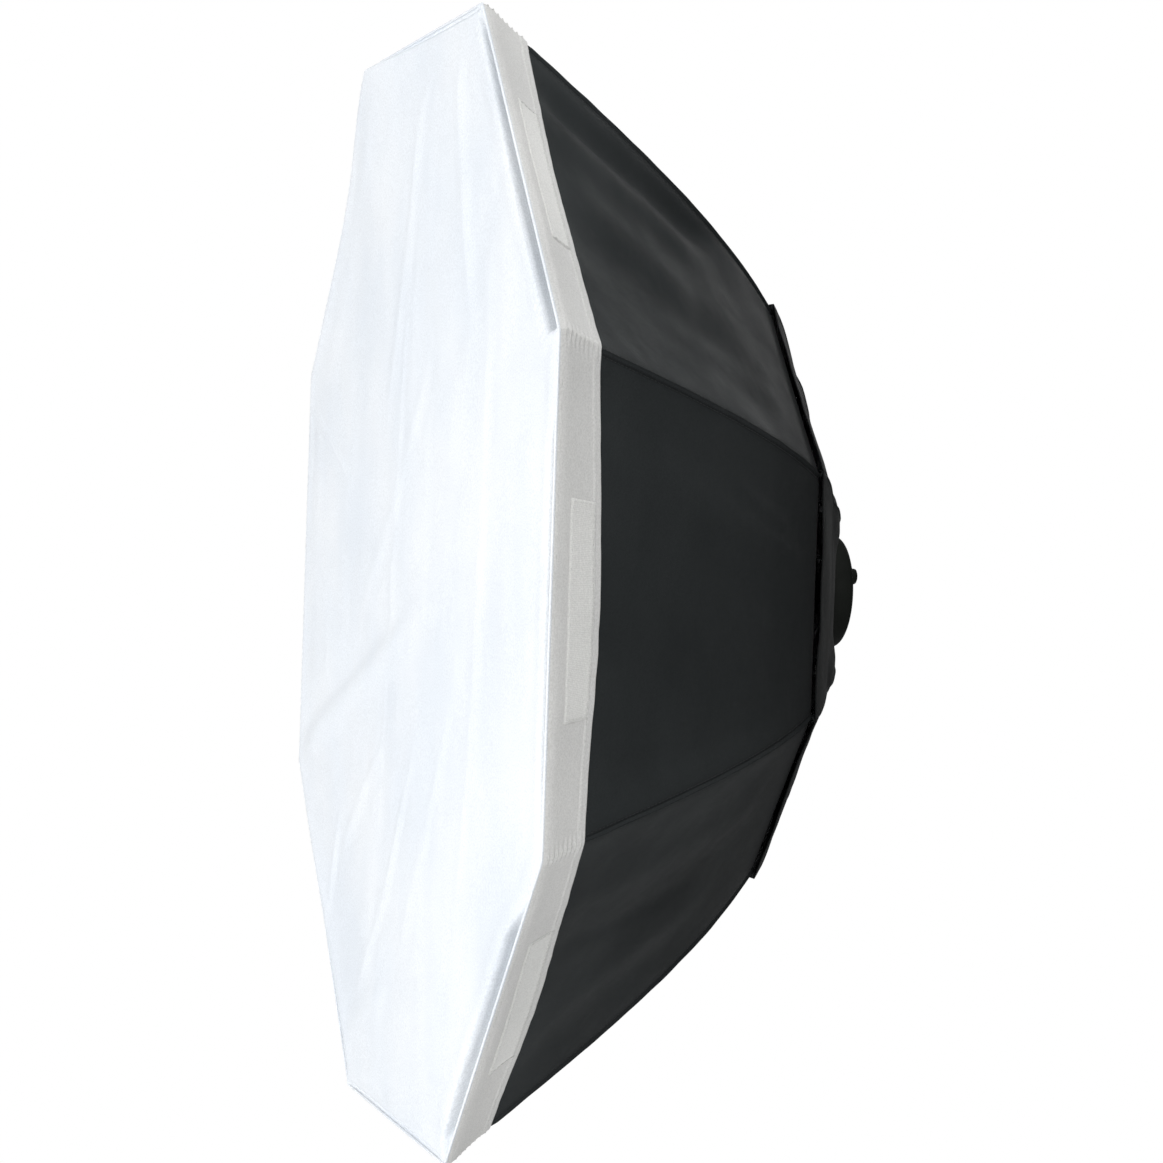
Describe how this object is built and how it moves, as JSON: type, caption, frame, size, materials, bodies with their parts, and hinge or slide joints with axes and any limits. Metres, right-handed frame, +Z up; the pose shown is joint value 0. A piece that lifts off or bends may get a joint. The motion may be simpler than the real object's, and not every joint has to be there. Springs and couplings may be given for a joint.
{
  "type": "octabox",
  "caption": "Umbrella-framed octagonal softbox: black shell and vent cover on folding ribs, white front diffuser with a skirt, round rear cap, lamp-side shaft.",
  "frame": {"origin": "on the shaft's axis, in the middle of its gripping length, 110 mm behind the front face", "axes": "+Y along the lamp axis towards the rear cap, so the white front faces -Y; +Z up"},
  "size_m": [0.7392, 0.3215, 0.7392],
  "materials": {
    "shell_nylon": "satin black nylon, silver lining inside",
    "diffuser_white": "thin translucent white diffusion cloth",
    "skirt_white": "white nylon, stitched hems",
    "hook_tape": "hook-and-loop tape",
    "silver_lining": "silver coated cloth",
    "moulded_cap": "fine textured dark plastic",
    "moulded_black": "matte moulded plastic",
    "rib_rod": "pultruded glass-fibre rod",
    "shaft_steel": "drawn steel tube",
    "stamped_steel": "black coated stamped steel",
    "wire": "drawn steel wire"
  },
  "bodies": {
    "hub": {"crown_hub": "moulded_black", "crown_cap": "moulded_cap", "crown_pivot_wire": "wire", "button_spring": "wire", "shaft": "shaft_steel", "shaft_tip": "moulded_black"},
    "release_button": {"release_button": "moulded_cap"},
    "runner": {"runner": "moulded_black", "runner_pivot_wire": "wire"},
    "latch": {"runner_latch": "moulded_black"},
    "diffuser": {"front_diffuser": "diffuser_white", "front_skirt": "skirt_white"},
    "rib_1": {"rib_1": "rib_rod", "rib_tip_1": "moulded_black", "rib_bracket_1": "stamped_steel", "shell_panel_1": "shell_nylon", "vent_panel_1": "shell_nylon"},
    "stretcher_1": {"stretcher_1": "stamped_steel"},
    "rib_2": {"rib_2": "rib_rod", "rib_tip_2": "moulded_black", "rib_bracket_2": "stamped_steel", "shell_panel_2": "shell_nylon", "vent_panel_2": "shell_nylon"},
    "stretcher_2": {"stretcher_2": "stamped_steel"},
    "rib_3": {"rib_3": "rib_rod", "rib_tip_3": "moulded_black", "rib_bracket_3": "stamped_steel", "shell_panel_3": "shell_nylon", "vent_panel_3": "shell_nylon"},
    "stretcher_3": {"stretcher_3": "stamped_steel"},
    "rib_4": {"rib_4": "rib_rod", "rib_tip_4": "moulded_black", "rib_bracket_4": "stamped_steel", "shell_panel_4": "shell_nylon", "vent_panel_4": "shell_nylon"},
    "stretcher_4": {"stretcher_4": "stamped_steel"},
    "rib_5": {"rib_5": "rib_rod", "rib_tip_5": "moulded_black", "rib_bracket_5": "stamped_steel", "shell_panel_5": "shell_nylon", "vent_panel_5": "shell_nylon"},
    "stretcher_5": {"stretcher_5": "stamped_steel"},
    "rib_6": {"rib_6": "rib_rod", "rib_tip_6": "moulded_black", "rib_bracket_6": "stamped_steel", "shell_panel_6": "shell_nylon", "vent_panel_6": "shell_nylon"},
    "stretcher_6": {"stretcher_6": "stamped_steel"},
    "rib_7": {"rib_7": "rib_rod", "rib_tip_7": "moulded_black", "rib_bracket_7": "stamped_steel", "shell_panel_7": "shell_nylon", "vent_panel_7": "shell_nylon"},
    "stretcher_7": {"stretcher_7": "stamped_steel"},
    "rib_8": {"rib_8": "rib_rod", "rib_tip_8": "moulded_black", "rib_bracket_8": "stamped_steel", "shell_panel_8": "shell_nylon", "vent_panel_8": "shell_nylon"},
    "stretcher_8": {"stretcher_8": "stamped_steel"}
  },
  "joints": [
    {"name": "runner_slide", "type": "slide", "parent": "hub", "child": "runner", "axis": [0, -1, 0], "range_m": [0, 0.1585]},
    {"name": "diffuser_lift", "type": "slide", "parent": "hub", "child": "diffuser", "axis": [0, -1, 0], "range_m": [0, 0.32]},
    {"name": "release_press", "type": "slide", "parent": "hub", "child": "release_button", "axis": [0, -1, 0], "range_m": [0, 0.003], "stiffness_N_per_m": 800, "springref_m": -0.001, "deforming": ["button_spring"]},
    {"name": "latch_rock", "type": "hinge", "parent": "runner", "child": "latch", "pos_m": [0, 0.08, 0.0115], "axis": [1, 0, 0], "range_deg": [0, 10], "stiffness_Nm_per_rad": 0.2, "springref_deg": -2.86},
    {"name": "rib_fold_1", "type": "hinge", "parent": "hub", "child": "rib_1", "pos_m": [0.01663, 0.1736, 0.00689], "axis": [0.3827, 0, -0.9239], "range_deg": [0, 47], "deforming": ["shell_panel_1", "vent_panel_1"]},
    {"name": "stretcher_swing_1", "type": "hinge", "parent": "runner", "child": "stretcher_1", "pos_m": [0.01309, 0.112, 0.01235], "axis": [-0.3827, 0, 0.9239], "range_deg": [0, 50.87]},
    {"name": "rib_fold_2", "type": "hinge", "parent": "hub", "child": "rib_2", "pos_m": [0.00689, 0.1736, 0.01663], "axis": [0.9239, 0, -0.3827], "range_deg": [0, 47], "deforming": ["shell_panel_2", "vent_panel_2"]},
    {"name": "stretcher_swing_2", "type": "hinge", "parent": "runner", "child": "stretcher_2", "pos_m": [0.00052, 0.112, 0.01799], "axis": [-0.9239, 0, 0.3827], "range_deg": [0, 50.87]},
    {"name": "rib_fold_3", "type": "hinge", "parent": "hub", "child": "rib_3", "pos_m": [-0.00689, 0.1736, 0.01663], "axis": [0.9239, 0, 0.3827], "range_deg": [0, 47], "deforming": ["shell_panel_3", "vent_panel_3"]},
    {"name": "stretcher_swing_3", "type": "hinge", "parent": "runner", "child": "stretcher_3", "pos_m": [-0.01235, 0.112, 0.01309], "axis": [-0.9239, 0, -0.3827], "range_deg": [0, 50.87]},
    {"name": "rib_fold_4", "type": "hinge", "parent": "hub", "child": "rib_4", "pos_m": [-0.01663, 0.1736, 0.00689], "axis": [0.3827, 0, 0.9239], "range_deg": [0, 47], "deforming": ["shell_panel_4", "vent_panel_4"]},
    {"name": "stretcher_swing_4", "type": "hinge", "parent": "runner", "child": "stretcher_4", "pos_m": [-0.01799, 0.112, 0.00052], "axis": [-0.3827, 0, -0.9239], "range_deg": [0, 50.87]},
    {"name": "rib_fold_5", "type": "hinge", "parent": "hub", "child": "rib_5", "pos_m": [-0.01663, 0.1736, -0.00689], "axis": [-0.3827, 0, 0.9239], "range_deg": [0, 47], "deforming": ["shell_panel_5", "vent_panel_5"]},
    {"name": "stretcher_swing_5", "type": "hinge", "parent": "runner", "child": "stretcher_5", "pos_m": [-0.01309, 0.112, -0.01235], "axis": [0.3827, 0, -0.9239], "range_deg": [0, 50.87]},
    {"name": "rib_fold_6", "type": "hinge", "parent": "hub", "child": "rib_6", "pos_m": [-0.00689, 0.1736, -0.01663], "axis": [-0.9239, 0, 0.3827], "range_deg": [0, 47], "deforming": ["shell_panel_6", "vent_panel_6"]},
    {"name": "stretcher_swing_6", "type": "hinge", "parent": "runner", "child": "stretcher_6", "pos_m": [-0.00052, 0.112, -0.01799], "axis": [0.9239, 0, -0.3827], "range_deg": [0, 50.87]},
    {"name": "rib_fold_7", "type": "hinge", "parent": "hub", "child": "rib_7", "pos_m": [0.00689, 0.1736, -0.01663], "axis": [-0.9239, 0, -0.3827], "range_deg": [0, 47], "deforming": ["shell_panel_7", "vent_panel_7"]},
    {"name": "stretcher_swing_7", "type": "hinge", "parent": "runner", "child": "stretcher_7", "pos_m": [0.01235, 0.112, -0.01309], "axis": [0.9239, 0, 0.3827], "range_deg": [0, 50.87]},
    {"name": "rib_fold_8", "type": "hinge", "parent": "hub", "child": "rib_8", "pos_m": [0.01663, 0.1736, -0.00689], "axis": [-0.3827, 0, -0.9239], "range_deg": [0, 47], "deforming": ["shell_panel_8", "vent_panel_8"]},
    {"name": "stretcher_swing_8", "type": "hinge", "parent": "runner", "child": "stretcher_8", "pos_m": [0.01799, 0.112, -0.00052], "axis": [0.3827, 0, 0.9239], "range_deg": [0, 50.87]}
  ],
  "couplings": [
    {"joint": "diffuser_lift", "follows": "runner_slide", "ratio": 2.0189},
    {"joint": "rib_fold_1", "follows": "runner_slide", "rad_per_m": 5.1754},
    {"joint": "stretcher_swing_1", "follows": "runner_slide", "rad_per_m": 5.6015},
    {"joint": "rib_fold_2", "follows": "runner_slide", "rad_per_m": 5.1754},
    {"joint": "stretcher_swing_2", "follows": "runner_slide", "rad_per_m": 5.6015},
    {"joint": "rib_fold_3", "follows": "runner_slide", "rad_per_m": 5.1754},
    {"joint": "stretcher_swing_3", "follows": "runner_slide", "rad_per_m": 5.6015},
    {"joint": "rib_fold_4", "follows": "runner_slide", "rad_per_m": 5.1754},
    {"joint": "stretcher_swing_4", "follows": "runner_slide", "rad_per_m": 5.6015},
    {"joint": "rib_fold_5", "follows": "runner_slide", "rad_per_m": 5.1754},
    {"joint": "stretcher_swing_5", "follows": "runner_slide", "rad_per_m": 5.6015},
    {"joint": "rib_fold_6", "follows": "runner_slide", "rad_per_m": 5.1754},
    {"joint": "stretcher_swing_6", "follows": "runner_slide", "rad_per_m": 5.6015},
    {"joint": "rib_fold_7", "follows": "runner_slide", "rad_per_m": 5.1754},
    {"joint": "stretcher_swing_7", "follows": "runner_slide", "rad_per_m": 5.6015},
    {"joint": "rib_fold_8", "follows": "runner_slide", "rad_per_m": 5.1754},
    {"joint": "stretcher_swing_8", "follows": "runner_slide", "rad_per_m": 5.6015}
  ]
}
